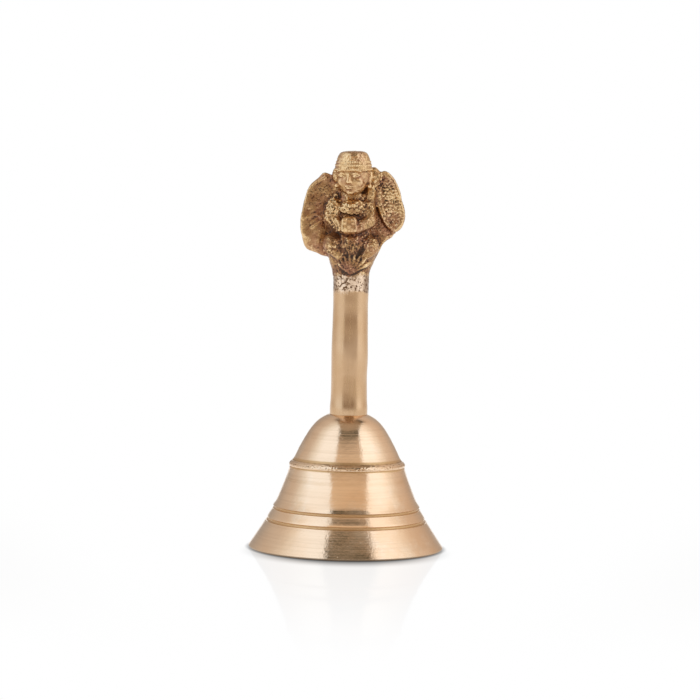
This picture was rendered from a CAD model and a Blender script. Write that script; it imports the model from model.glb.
import math
import random

import bpy
import numpy as np
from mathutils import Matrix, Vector


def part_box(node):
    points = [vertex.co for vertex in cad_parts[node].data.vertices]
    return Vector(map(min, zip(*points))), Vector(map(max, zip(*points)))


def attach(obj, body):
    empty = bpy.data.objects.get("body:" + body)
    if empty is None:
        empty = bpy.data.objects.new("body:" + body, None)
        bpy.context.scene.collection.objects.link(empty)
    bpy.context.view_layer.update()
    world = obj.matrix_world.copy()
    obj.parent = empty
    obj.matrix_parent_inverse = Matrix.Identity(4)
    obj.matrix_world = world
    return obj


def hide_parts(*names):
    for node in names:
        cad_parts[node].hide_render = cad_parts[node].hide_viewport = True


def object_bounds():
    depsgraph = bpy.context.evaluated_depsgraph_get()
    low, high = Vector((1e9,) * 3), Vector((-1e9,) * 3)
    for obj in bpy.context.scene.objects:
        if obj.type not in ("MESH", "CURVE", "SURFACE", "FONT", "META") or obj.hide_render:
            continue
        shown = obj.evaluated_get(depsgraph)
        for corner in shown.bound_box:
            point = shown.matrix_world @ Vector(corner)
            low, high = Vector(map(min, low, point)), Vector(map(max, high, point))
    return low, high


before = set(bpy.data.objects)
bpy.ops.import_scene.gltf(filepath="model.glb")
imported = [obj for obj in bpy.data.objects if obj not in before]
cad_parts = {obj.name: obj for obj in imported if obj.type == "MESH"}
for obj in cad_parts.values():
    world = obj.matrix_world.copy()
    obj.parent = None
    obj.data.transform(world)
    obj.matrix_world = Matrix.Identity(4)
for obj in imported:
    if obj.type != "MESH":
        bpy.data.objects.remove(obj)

# --- sizes, in metres -----------------------------------------------------------------------------
MM = 0.001
cad_low, cad_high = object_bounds()
shell_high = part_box("bell_shell")[1]

MOUTH_R = shell_high.x - 0.05 * MM
CROWN_Z = shell_high.z
HANDLE_X = 0.15 * MM  # the handle stands a little to one side of the bell's axis

LATHE_STEPS = 540  # steps round the turned shell
STEM_STEPS = 160
FIGURE_GRAIN = 0.22 * MM  # voxel of the finished figure
HEAD_GRAIN = 0.15 * MM
MASS_GRAIN = 0.45 * MM  # voxel of the rough masses, before their details


# --- bench tools ----------------------------------------------------------------------------------
def deselect_all():
    bpy.ops.object.select_all(action="DESELECT")


def take(obj):
    """Makes obj the only selected object, and the active one."""
    deselect_all()
    obj.select_set(True)
    bpy.context.view_layer.objects.active = obj
    return obj


def start_editing(obj, select="SELECT"):
    take(obj)
    bpy.ops.object.mode_set(mode="EDIT")
    bpy.ops.mesh.select_mode(type="VERT")
    bpy.ops.mesh.select_all(action=select)


def stop_editing():
    bpy.ops.object.mode_set(mode="OBJECT")


def settle(obj):
    """Puts an object's place, turn and scale into its mesh."""
    take(obj)
    bpy.ops.object.transform_apply(location=True, rotation=True, scale=True)
    return obj


def apply_modifier(obj, kind, **settings):
    take(obj)
    modifier = obj.modifiers.new(kind.title(), kind)
    for key, value in settings.items():
        setattr(modifier, key, value)
    bpy.ops.object.modifier_apply(modifier=modifier.name)
    return obj


def join(parts, name):
    """Joins parts into one object with its place in its mesh."""
    deselect_all()
    for part in parts:
        part.select_set(True)
    bpy.context.view_layer.objects.active = parts[0]
    bpy.ops.object.join()
    obj = bpy.context.view_layer.objects.active
    obj.name = name
    obj.data.name = name
    return settle(obj)


def fuse(parts, name, grain, smoothing):
    """Melts parts into one closed skin, as in a casting."""
    obj = join(parts, name)
    apply_modifier(obj, "REMESH", mode="VOXEL", voxel_size=grain)
    apply_modifier(obj, "SMOOTH", factor=0.5, iterations=smoothing)
    return obj


def three(size):
    """One size for each axis, from a single size or from three."""
    return size if hasattr(size, "__len__") else (size,) * 3


def lump(centre, radii, turn=(0, 0, 0), segments=20):
    """Ellipsoid in millimetres, turned by degrees about X, Y and Z."""
    bpy.ops.mesh.primitive_uv_sphere_add(
        segments=segments,
        ring_count=segments * 2 // 3,
        radius=MM,
        location=[c * MM for c in centre],
        rotation=[math.radians(t) for t in turn],
    )
    obj = bpy.context.object
    obj.scale = three(radii)
    return obj


def limb(start, end, start_r, end_r):
    """Tapered rod in millimetres with a ball at each end."""
    a = Vector(start)
    b = Vector(end)
    bpy.ops.mesh.primitive_cone_add(
        vertices=20,
        radius1=start_r * MM,
        radius2=end_r * MM,
        depth=(b - a).length * MM,
        location=(a + b) / 2 * MM,
        rotation=(b - a).to_track_quat("Z", "Y").to_euler(),
    )
    return [bpy.context.object, lump(start, start_r, segments=16), lump(end, end_r, segments=16)]


def arc_points(start, middle, end, count):
    """Points along the arc through three (radius, height) points, without its last one."""
    (ax, ay), (bx, by), (cx, cy) = start, middle, end
    d = 2 * (ax * (by - cy) + bx * (cy - ay) + cx * (ay - by))
    a2, b2, c2 = ax * ax + ay * ay, bx * bx + by * by, cx * cx + cy * cy
    ox = (a2 * (by - cy) + b2 * (cy - ay) + c2 * (ay - by)) / d
    oy = (a2 * (cx - bx) + b2 * (ax - cx) + c2 * (bx - ax)) / d
    first = math.atan2(ay - oy, ax - ox)
    swing = math.atan2(cy - oy, cx - ox) - first
    halfway = math.atan2(by - oy, bx - ox) - first
    while swing > math.pi:
        swing -= 2 * math.pi
    while swing < -math.pi:
        swing += 2 * math.pi
    if swing * halfway < 0 and abs(halfway) < math.pi:
        swing -= math.copysign(2 * math.pi, swing)
    r = math.hypot(ax - ox, ay - oy)
    angles = (first + swing * k / count for k in range(count))
    return [(ox + r * math.cos(t), oy + r * math.sin(t)) for t in angles]


def line_points(start, end, count):
    """Points along a straight stretch, without its last one."""
    return [
        (start[0] + (end[0] - start[0]) * k / count, start[1] + (end[1] - start[1]) * k / count)
        for k in range(count)
    ]


def curve_span(p0, p1, p2, p3, count):
    """Points from p1 up to p2, without p2, on the Catmull-Rom curve through four points."""
    return [
        tuple(
            0.5 * (2 * p1 + (p2 - p0) * t + (2 * p0 - 5 * p1 + 4 * p2 - p3) * t * t
                   + (3 * p1 - p0 - 3 * p2 + p3) * t ** 3)
        )
        for t in np.arange(count) / count
    ]


def curve_through(points, per_span=8):
    """Open smooth curve through points of any dimension."""
    ends = [2 * np.array(points[0], float) - np.array(points[1], float)]
    ends += [np.array(p, float) for p in points]
    ends += [2 * np.array(points[-1], float) - np.array(points[-2], float)]
    curve = []
    for four in zip(ends, ends[1:], ends[2:], ends[3:]):
        curve += curve_span(*four, per_span)
    return curve + [tuple(points[-1])]


def loop_through(points, per_span=5):
    """Closed smooth curve through points of any dimension."""
    count = len(points)
    curve = []
    for k in range(count):
        four = [np.array(points[(k + step) % count], float) for step in (-1, 0, 1, 2)]
        curve += curve_span(*four, per_span)
    return curve


def loop_from(points, name):
    """Closed loop of vertices at the given places, from a plain circle."""
    bpy.ops.mesh.primitive_circle_add(vertices=len(points), radius=MM, fill_type="NOTHING")
    obj = bpy.context.object
    obj.name = name
    obj.data.name = name
    for vertex, place in zip(obj.data.vertices, points):
        vertex.co = place
    return obj


def spin_section(section, name, steps, centre_x=0.0):
    """Turns a closed (radius, height) section in millimetres about an upright axis."""
    obj = loop_from([(centre_x + r * MM, 0, z * MM) for r, z in section], name)
    start_editing(obj)
    bpy.ops.mesh.spin(
        steps=steps, angle=2 * math.pi, center=(centre_x, 0, 0), axis=(0, 0, 1)
    )
    bpy.ops.mesh.select_all(action="SELECT")
    bpy.ops.mesh.remove_doubles(threshold=0.002 * MM)
    bpy.ops.mesh.normals_make_consistent(inside=False)
    stop_editing()
    return obj


def coordinates(obj):
    co = np.zeros(len(obj.data.vertices) * 3, np.float32)
    obj.data.vertices.foreach_get("co", co)
    return co.reshape(-1, 3)


def place_vertices(obj, co):
    obj.data.vertices.foreach_set("co", np.ascontiguousarray(co, np.float32).ravel())
    obj.data.update()


def smooth_step(low, high, x):
    t = np.clip((x - low) / (high - low), 0, 1)
    return t * t * (3 - 2 * t)


def weigh(obj, name, weights):
    """Vertex group with one weight for each vertex, in ten bands."""
    group = obj.vertex_groups.new(name=name)
    bands = np.round(np.clip(weights, 0, 1) * 10).astype(int)
    for band in range(1, 11):
        group.add([int(i) for i in np.nonzero(bands == band)[0]], band / 10, "REPLACE")
    return group.name


def roughen(obj, size, height, octaves, group="", mid=0.5):
    """Pushes the skin in and out by a solid noise of the given feature size."""
    texture = bpy.data.textures.new(f"{obj.name}_clouds", "CLOUDS")
    texture.noise_scale = size
    texture.noise_depth = octaves
    apply_modifier(
        obj, "DISPLACE", texture=texture, strength=height, mid_level=mid, vertex_group=group,
        texture_coords="LOCAL",
    )


def average_neighbours(co, edges, rounds):
    """Vertex places after rounds of averaging with their neighbours."""
    count = np.bincount(edges.ravel(), minlength=len(co))[:, None]
    for _ in range(rounds):
        total = np.stack(
            [
                np.bincount(edges[:, 0], co[edges[:, 1], k], len(co))
                + np.bincount(edges[:, 1], co[edges[:, 0], k], len(co))
                for k in range(3)
            ],
            axis=1,
        )
        co = (co + total / np.maximum(count, 1)) / 2
    return co


def store_values(obj, name, values):
    """Keeps one value for each vertex as an attribute that a finish can read."""
    attribute = obj.data.attributes.new(name, "FLOAT", "POINT")
    attribute.data.foreach_set("value", values.astype(np.float32))


def record_wear(obj, fine_depth, broad_depth, fine_rounds=6, broad_rounds=60):
    """Stores how far each point stands proud (above 0.5) or sunk (below 0.5), near and broadly."""
    mesh = obj.data
    co = coordinates(obj).astype(float)
    edges = np.zeros(len(mesh.edges) * 2, np.int32)
    mesh.edges.foreach_get("vertices", edges)
    edges = edges.reshape(-1, 2)
    normals = np.zeros(len(mesh.vertices) * 3, np.float32)
    mesh.vertex_normals.foreach_get("vector", normals)
    normals = normals.reshape(-1, 3)
    for name, depth, rounds in (
        ("fine", fine_depth, fine_rounds),
        ("broad", broad_depth, broad_rounds),
    ):
        height = ((co - average_neighbours(co, edges, rounds)) * normals).sum(1) / depth
        store_values(obj, name, 0.5 + 0.5 * np.tanh(height))


def record_spots(obj, name, base, spots):
    """Stores a value on each point: base, plus soft spots given as (centre, radii, amount)."""
    co = coordinates(obj).astype(float) / MM
    value = np.full(len(co), float(base))
    for centre, radii, amount in spots:
        away = (((co - np.array(centre)) / np.array(radii)) ** 2).sum(1)
        value += amount * np.exp(-away)
    store_values(obj, name, value)


def finish_piece(obj, body, material, node, sharp_deg=40):
    """Shades a piece, hangs it on its body and says which design piece it stands for."""
    take(obj)
    bpy.ops.object.shade_smooth_by_angle(angle=math.radians(sharp_deg))
    obj.data.materials.clear()
    obj.data.materials.append(material)
    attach(obj, body)
    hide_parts(node)
    deselect_all()
    return obj


# --- camera, light and floor ----------------------------------------------------------------------
CAMERA_DISTANCE = 0.800
CAMERA_HEIGHT = 0.114
CAMERA_SIDE = 0.00025
CAMERA_LENS = 117.15  # millimetres on a 36 mm sensor
CAMERA_ROLL_DEG = 1.1


def place_camera():
    bpy.ops.object.camera_add(location=(CAMERA_SIDE, -CAMERA_DISTANCE, CAMERA_HEIGHT))
    camera = bpy.context.object
    camera.name = "camera"
    camera.data.lens = CAMERA_LENS
    camera.data.sensor_width = 36.0
    camera.data.clip_start = 0.01
    camera.data.clip_end = 50.0
    aim = Vector((CAMERA_SIDE, 0, (cad_low.z + cad_high.z) / 2))
    look = (aim - camera.location).to_track_quat("-Z", "Y")
    camera.rotation_euler = look.to_euler()
    camera.rotation_euler.rotate_axis("Z", math.radians(CAMERA_ROLL_DEG))
    bpy.context.scene.camera = camera


class Nodes:
    """Short hand for building a node tree."""

    def __init__(self, tree):
        self.tree = tree
        tree.nodes.clear()

    def add(self, kind, inputs=None, **settings):
        node = self.tree.nodes.new(kind)
        for key, value in settings.items():
            setattr(node, key, value)
        for key, value in (inputs or {}).items():
            self.feed(node.inputs[key], value)
        return node

    def feed(self, socket, value):
        if isinstance(value, bpy.types.NodeSocket):
            self.tree.links.new(value, socket)
        elif hasattr(value, "__len__") and len(value) == 3 and socket.type == "RGBA":
            socket.default_value = (*value, 1)
        else:
            socket.default_value = value

    def math(self, operation, a, b=0.0):
        return self.add("ShaderNodeMath", {0: a, 1: b}, operation=operation).outputs[0]

    def times(self, a, b):
        return self.math("MULTIPLY", a, b)

    def plus(self, a, b):
        return self.math("ADD", a, b)

    def distance(self, vector):
        """Length of a vector."""
        node = self.add("ShaderNodeVectorMath", {0: vector}, operation="LENGTH")
        return node.outputs["Value"]

    def part_of(self, vector, axis):
        return self.add("ShaderNodeSeparateXYZ", {"Vector": vector}).outputs[axis]

    def attribute(self, name):
        return self.add("ShaderNodeAttribute", attribute_name=name).outputs["Fac"]

    def fade(self, value, low, high, from_value=0.0, to_value=1.0):
        """Smooth change from from_value to to_value as value goes from low to high."""
        node = self.add(
            "ShaderNodeMapRange",
            {
                "Value": value,
                "From Min": low,
                "From Max": high,
                "To Min": from_value,
                "To Max": to_value,
            },
            interpolation_type="SMOOTHSTEP",
        )
        return node.outputs["Result"]

    def mix(self, amount, a, b, blend_type="MIX"):
        node = self.add("ShaderNodeMix", data_type="RGBA", blend_type=blend_type)
        self.feed(node.inputs["Factor"], amount)
        self.feed(node.inputs["A"], a)
        self.feed(node.inputs["B"], b)
        return node.outputs["Result"]

    def ramp(self, value, stops):
        node = self.add("ShaderNodeValToRGB", {"Fac": value})
        ramp = node.color_ramp
        while len(ramp.elements) < len(stops):
            ramp.elements.new(0.5)
        for element, (place, colour) in zip(ramp.elements, stops):
            element.position = place
            element.color = (*colour, 1)
        return node.outputs["Color"]

    def noise(self, vector, scale, detail, roughness):
        node = self.add(
            "ShaderNodeTexNoise",
            {"Vector": vector, "Scale": scale, "Detail": detail, "Roughness": roughness},
        )
        return node.outputs[0]

    def bump(self, strength, depth, height, under=None, invert=False):
        """Fine relief of the given depth in metres, laid over another one."""
        inputs = {"Strength": strength, "Distance": depth, "Height": height}
        if under is not None:
            inputs["Normal"] = under
        return self.add("ShaderNodeBump", inputs, invert=invert).outputs[0]


WALL_LEFT = (1.10, 1.20, 1.34)
WALL_RIGHT = (1.28, 1.33, 1.42)
PURE_WHITE = (1.0, 1.0, 1.0)
GAP_SIDE = 0.05  # the gap between the two soft walls lies a little to the right
GAP_COLOURS = [  # sine of the elevation, colour of the gap there
    (0.00, (0.25, 0.18, 0.125)),
    (0.30, (0.42, 0.32, 0.24)),
    (0.52, (0.76, 0.62, 0.48)),
    (0.66, (0.78, 0.64, 0.50)),
    (0.74, (0.68, 0.56, 0.46)),
    (0.80, (0.54, 0.45, 0.36)),
    (0.836, (0.11, 0.105, 0.085)),
    (0.890, (0.05, 0.055, 0.04)),
    (0.915, (0.40, 0.33, 0.26)),
    (1.00, (0.48, 0.39, 0.31)),
]
FALL_OFF = [  # how the tent darkens and warms from the front to the back: (y + 1) / 2, tint
    (0.40, (1.00, 1.00, 1.00)),
    (0.52, (0.82, 0.78, 0.72)),
    (0.66, (0.62, 0.53, 0.45)),
    (0.80, (0.54, 0.445, 0.365)),
    (0.96, (0.38, 0.32, 0.265)),
]


def light_tent():
    """Two soft white walls with a darker gap over the camera, seen only in reflections.

    They meet at the back, and a white sheet hangs low down there.
    """
    world = bpy.data.worlds.new("light_tent")
    world.use_nodes = True
    n = Nodes(world.node_tree)
    direction = n.add("ShaderNodeTexCoord").outputs["Generated"]
    x, y, z = n.add("ShaderNodeSeparateXYZ", {"Vector": direction}).outputs
    side = n.math("ABSOLUTE", n.math("SUBTRACT", x, GAP_SIDE))
    half_gap = n.fade(z, 0.0, 0.95, 0.70, 0.34)
    beside_gap = n.fade(n.math("SUBTRACT", side, half_gap), -0.03, 0.05)
    back = n.fade(y, 0.30, 0.60)
    wall_colour = n.mix(n.fade(x, -0.2, 0.2), WALL_LEFT, WALL_RIGHT)
    room = n.mix(n.math("MAXIMUM", beside_gap, back), n.ramp(z, GAP_COLOURS), wall_colour)
    depth = n.times(n.plus(y, 1.0), 0.5)
    room = n.mix(1.0, room, n.ramp(depth, FALL_OFF), "MULTIPLY")
    sheet = n.times(n.fade(y, 0.970, 0.984), n.fade(z, 0.30, 0.25))
    room = n.mix(sheet, room, PURE_WHITE)
    seen = n.add("ShaderNodeLightPath").outputs["Is Camera Ray"]
    colour = n.mix(seen, room, PURE_WHITE)
    background = n.add("ShaderNodeBackground", {"Color": colour, "Strength": 1.0})
    n.add("ShaderNodeOutputWorld", {"Surface": background.outputs[0]})
    bpy.context.scene.world = world


FLOOR_SIZE = 8.0
FLOOR_ROUGHNESS = 0.06
FLOOR_GLOSS = 0.14
FLOOR_GLOSS_FADE = 0.19  # how far out from the rim the gloss dies away
SHADOW_CENTRE_Y = -11 * MM  # the light comes from above and behind, so the shadow falls forward
SHADOW_LOW_R = 22 * MM
SHADOW_HIGH_R = 38 * MM
SHADOW_SHADE = 0.22  # brightness in the middle of the shadow
CONTACT_SHADE = 0.4  # brightness right under the lip
CONTACT_START = 0.5 * MM  # inside the mouth's edge
CONTACT_REACH = 1.8 * MM


def lay_floor():
    bpy.ops.mesh.primitive_plane_add(size=FLOOR_SIZE, location=(0, 0, cad_low.z))
    floor = bpy.context.object
    floor.name = "floor"
    material = bpy.data.materials.new("white_sheet")
    material.use_nodes = True
    n = Nodes(material.node_tree)
    place = n.add("ShaderNodeTexCoord").outputs["Object"]
    radius = n.distance(place)
    shadow_centre = (0, SHADOW_CENTRE_Y, 0)
    forward = n.add("ShaderNodeVectorMath", {0: place, 1: shadow_centre}, operation="SUBTRACT")
    from_shadow = n.distance(forward.outputs[0])
    shade = n.fade(from_shadow, SHADOW_LOW_R, SHADOW_HIGH_R, SHADOW_SHADE, 1.0)
    edge_low = MOUTH_R - CONTACT_START
    contact = n.fade(radius, edge_low, MOUTH_R + CONTACT_REACH, CONTACT_SHADE, 1.0)
    shade = n.times(shade, contact)
    white = n.add("ShaderNodeEmission", {"Color": PURE_WHITE, "Strength": shade})
    gloss = n.add("ShaderNodeBsdfGlossy", {"Color": PURE_WHITE, "Roughness": FLOOR_ROUGHNESS})
    share = n.fade(radius, MOUTH_R, MOUTH_R + FLOOR_GLOSS_FADE, FLOOR_GLOSS, 0.0)
    top = n.add("ShaderNodeMixShader", {"Fac": share, 1: white.outputs[0], 2: gloss.outputs[0]})
    clear = n.add("ShaderNodeBsdfTransparent")
    below = n.add("ShaderNodeNewGeometry").outputs["Backfacing"]
    both = n.add("ShaderNodeMixShader", {"Fac": below, 1: top.outputs[0], 2: clear.outputs[0]})
    n.add("ShaderNodeOutputMaterial", {"Surface": both.outputs[0]})
    floor.data.materials.append(material)


# --- finishes -------------------------------------------------------------------------------------
BRASS = (0.88, 0.66, 0.46)
BRASS_WARM = (0.84, 0.58, 0.37)
BRASS_PALE = (0.90, 0.74, 0.57)
BRASS_GOLD = (0.62, 0.40, 0.19)
BRASS_DULL = (0.70, 0.50, 0.33)
BRASS_BUFFED = (0.675, 0.46, 0.28)
BRASS_BUFFED_WARM = (0.60, 0.385, 0.215)
BRASS_RUBBED = (0.87, 0.635, 0.36)
BRASS_SCRAPED = (0.82, 0.62, 0.45)
COPPER = (0.40, 0.18, 0.115)
PATINA = (0.045, 0.024, 0.012)
PATINA_WARM = (0.15, 0.075, 0.035)
CAST_COLOURS = [  # how exposed the skin is, its colour there
    (0.16, (0.080, 0.036, 0.020)),
    (0.34, (0.23, 0.108, 0.060)),
    (0.48, (0.41, 0.215, 0.100)),
    (0.62, (0.55, 0.335, 0.150)),
    (0.80, (0.75, 0.495, 0.245)),
]
FLAW_EDGE = 0.4 * MM  # how softly the pitted belt starts and ends
FLAW_INNER_R = (18.8 * MM, 19.3 * MM)  # the shell's inner wall, inside this, has no pits
STEM_CAST_Z = (89.5 * MM, 91.2 * MM)  # where the buffed stem turns to skin as cast
STEM_DARK_Z = (95.0 * MM, 98.0 * MM)  # where that skin turns dark
STEM_SOOT_X = (4.0 * MM, 5.6 * MM)  # its sides are sooty


def new_finish(name):
    material = bpy.data.materials.new(name)
    material.use_nodes = True
    n = Nodes(material.node_tree)
    place = n.add("ShaderNodeTexCoord").outputs["Object"]
    shader = n.add("ShaderNodeBsdfPrincipled", {"Metallic": 1.0})
    n.add("ShaderNodeOutputMaterial", {"Surface": shader.outputs[0]})
    return material, n, place, shader


def stretched(n, place, x, y, z):
    return n.add("ShaderNodeMapping", {"Vector": place, "Scale": (x, y, z)}).outputs[0]


def turned_finish(name, lines, flawed_low=-1.0, flawed_high=-0.9):
    """Buffed brass with fine lines round the axis, slightly blotched, pitted in one belt."""
    material, n, place, shader = new_finish(name)
    rings = n.noise(stretched(n, place, 30, 30, 4200), 1.0, 3.0, 0.6)
    broad_rings = n.noise(stretched(n, place, 12, 12, 900), 1.0, 2.0, 0.5)
    blotches = n.noise(place, 95.0, 4.0, 0.6)
    clouds = n.noise(place, 38.0, 3.0, 0.55)
    specks = n.noise(place, 620.0, 3.0, 0.65)
    fine = n.attribute("fine")
    sunk = n.fade(n.math("MINIMUM", fine, n.attribute("broad")), 0.46, 0.30)
    height = n.part_of(place, "Z")
    belt = n.times(
        n.fade(height, flawed_low, flawed_low + FLAW_EDGE),
        n.fade(height, flawed_high, flawed_high - FLAW_EDGE),
    )
    outside = n.fade(n.distance(stretched(n, place, 1, 1, 0)), *FLAW_INNER_R)
    flaw = n.times(n.fade(fine, 0.45, 0.25), n.fade(specks, 0.42, 0.58))
    flaw = n.times(n.times(flaw, belt), outside)
    colour = n.mix(n.fade(clouds, 0.35, 0.65), BRASS, BRASS_WARM)
    colour = n.mix(n.fade(blotches, 0.52, 0.75, 0.0, 0.6), colour, BRASS_PALE)
    colour = n.mix(n.fade(broad_rings, 0.48, 0.66, 0.0, 0.26), colour, BRASS_DULL)
    colour = n.mix(n.times(sunk, 0.85), colour, BRASS_GOLD)
    colour = n.mix(flaw, colour, PATINA_WARM)
    n.feed(shader.inputs["Base Color"], colour)
    rough = n.fade(blotches, 0.30, 0.70, 0.08, 0.16)
    rough = n.plus(rough, n.fade(rings, 0.38, 0.68, 0.0, 0.12))
    rough = n.plus(rough, n.times(n.plus(sunk, flaw), 0.28))
    n.feed(shader.inputs["Roughness"], rough)
    shader.inputs["Anisotropic"].default_value = 0.55
    shader.inputs["Anisotropic Rotation"].default_value = 0.25
    tangent = n.add("ShaderNodeTangent", direction_type="RADIAL", axis="Z")
    n.feed(shader.inputs["Tangent"], tangent.outputs[0])
    relief = n.plus(n.times(rings, 0.7), broad_rings)
    bump = n.bump(0.40 * lines, 0.04 * MM, relief)
    bump = n.bump(0.30, 0.12 * MM, n.noise(place, 650.0, 2.0, 0.6), bump)
    pits = n.fade(n.noise(place, 900.0, 2.0, 0.5), 0.30, 0.20)
    bump = n.bump(0.35, 0.08 * MM, pits, bump, invert=True)
    n.feed(shader.inputs["Normal"], bump)
    return material


def wandering(n, place, scale, detail, amount):
    """Noise about zero, up to amount each way."""
    noise = n.noise(place, scale, detail, 0.65)
    return n.times(n.math("SUBTRACT", noise, 0.5), amount * 4)


def cast_colours(n, place):
    """Colour, roughness and share of bare metal on cast brass, by how exposed it is."""
    rub = n.attribute("rub")
    level = n.plus(n.attribute("broad"), wandering(n, place, 170.0, 4.0, 0.17))
    level = n.plus(level, rub)
    body = n.ramp(level, CAST_COLOURS)
    copper = n.fade(n.noise(place, 110.0, 2.0, 0.5), 0.46, 0.64, 0.0, 0.6)
    body = n.mix(copper, body, COPPER)
    grain = n.plus(n.attribute("fine"), wandering(n, place, 560.0, 4.0, 0.20))
    grain = n.plus(grain, n.times(rub, 0.6))
    crust = n.fade(grain, 0.44, 0.24)
    speck = n.fade(n.noise(place, 1500.0, 2.0, 0.5), 0.44, 0.37)
    speck = n.times(n.times(speck, n.attribute("specks")), n.fade(grain, 0.90, 0.55))
    rubbed = n.fade(grain, 0.56, 0.84)
    colour = n.mix(n.times(crust, 0.92), body, PATINA)
    colour = n.mix(n.times(rubbed, 0.8), colour, BRASS_RUBBED)
    colour = n.mix(speck, colour, PATINA)
    worn = n.fade(level, 0.4, 0.8, 0.0, 0.06)
    rough = n.math("SUBTRACT", n.fade(grain, 0.25, 0.80, 0.55, 0.28), worn)
    bare = n.fade(grain, 0.20, 0.50, 0.35, 1.0)
    return colour, rough, bare


def cast_bump(n, place, strength=1.0):
    low = n.bump(0.5 * strength, 0.12 * MM, n.noise(place, 1100.0, 3.0, 0.6))
    return n.bump(0.35 * strength, 0.04 * MM, n.noise(place, 3200.0, 3.0, 0.6), low)


def cast_finish(name):
    """Cast brass, dark in its hollows and rubbed bright on its high places."""
    material, n, place, shader = new_finish(name)
    colour, rough, bare = cast_colours(n, place)
    n.feed(shader.inputs["Base Color"], colour)
    n.feed(shader.inputs["Roughness"], rough)
    n.feed(shader.inputs["Metallic"], bare)
    n.feed(shader.inputs["Normal"], cast_bump(n, place))
    return material


def stem_finish(name):
    """Brass buffed by hand along its length, left as cast and dark at the top."""
    material, n, place, shader = new_finish(name)
    edge = n.plus(n.part_of(place, "Z"), wandering(n, place, 260.0, 3.0, 1.8 * MM))
    as_cast = n.fade(edge, *STEM_CAST_Z)
    dark = n.fade(edge, *STEM_DARK_Z)
    across = n.math("ABSOLUTE", n.part_of(place, "X"))
    soot = n.fade(n.plus(across, wandering(n, place, 420.0, 3.0, 1.2 * MM)), *STEM_SOOT_X)
    streaks = n.noise(stretched(n, place, 900, 900, 60), 1.0, 3.0, 0.6)
    clouds = n.noise(place, 60.0, 3.0, 0.55)
    buffed = n.mix(n.fade(clouds, 0.35, 0.65), BRASS_BUFFED, BRASS_BUFFED_WARM)
    buffed = n.mix(n.fade(streaks, 0.50, 0.70, 0.0, 0.35), buffed, BRASS_GOLD)
    pits = n.noise(place, 1100.0, 3.0, 0.6)
    pitted = n.mix(n.fade(pits, 0.50, 0.38), BRASS_SCRAPED, PATINA_WARM)
    pitted = n.mix(n.times(soot, 0.65), pitted, PATINA_WARM)
    colour, rough, _ = cast_colours(n, place)
    colour = n.mix(as_cast, buffed, n.mix(dark, pitted, colour))
    n.feed(shader.inputs["Base Color"], colour)
    smooth = n.fade(streaks, 0.35, 0.70, 0.22, 0.30)
    collar = n.fade(pits, 0.47, 0.36, 0.22, 0.5)
    rough = n.mix(as_cast, smooth, n.mix(dark, collar, rough))
    n.feed(shader.inputs["Roughness"], rough)
    lines = n.bump(0.22, 0.04 * MM, streaks)
    n.feed(shader.inputs["Normal"], n.bump(0.6, 0.12 * MM, n.times(pits, as_cast), lines))
    return material


def steel_finish(name, colour, stain, rough):
    """Plated or drawn steel, dulled and spotted with age."""
    material, n, place, shader = new_finish(name)
    spots = n.noise(place, 900.0, 4.0, 0.6)
    smears = n.noise(place, 260.0, 2.0, 0.5)
    tint = n.mix(n.fade(smears, 0.35, 0.70), colour, tuple(0.72 * c for c in colour))
    n.feed(shader.inputs["Base Color"], n.mix(n.fade(spots, 0.56, 0.70, 0.0, 0.8), tint, stain))
    n.feed(shader.inputs["Roughness"], n.fade(spots, 0.40, 0.70, rough, rough + 0.25))
    n.feed(shader.inputs["Normal"], cast_bump(n, place, 0.35))
    return material


# --- turned shell ---------------------------------------------------------------------------------
LIP_TOP_Z = 10.2
BAND_TOP_Z = 14.4
GROOVE = 0.55
BEAD_LOW_Z = 28.9
BEAD_TOP_Z = 31.2
BEAD_R = 20.45
BOLT_HOLE_R = 2.25
CEILING_Z = 43.6  # under the crown, inside
INNER_WALL = [(10.4, 41.4), (17.7, 29.6), (22.3, 17.2), (31.1, 0.0)]


def groove_points(low, high):
    middle = ((low[0] + high[0]) / 2 - GROOVE, (low[1] + high[1]) / 2)
    return arc_points(low, middle, high, 9)


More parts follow.
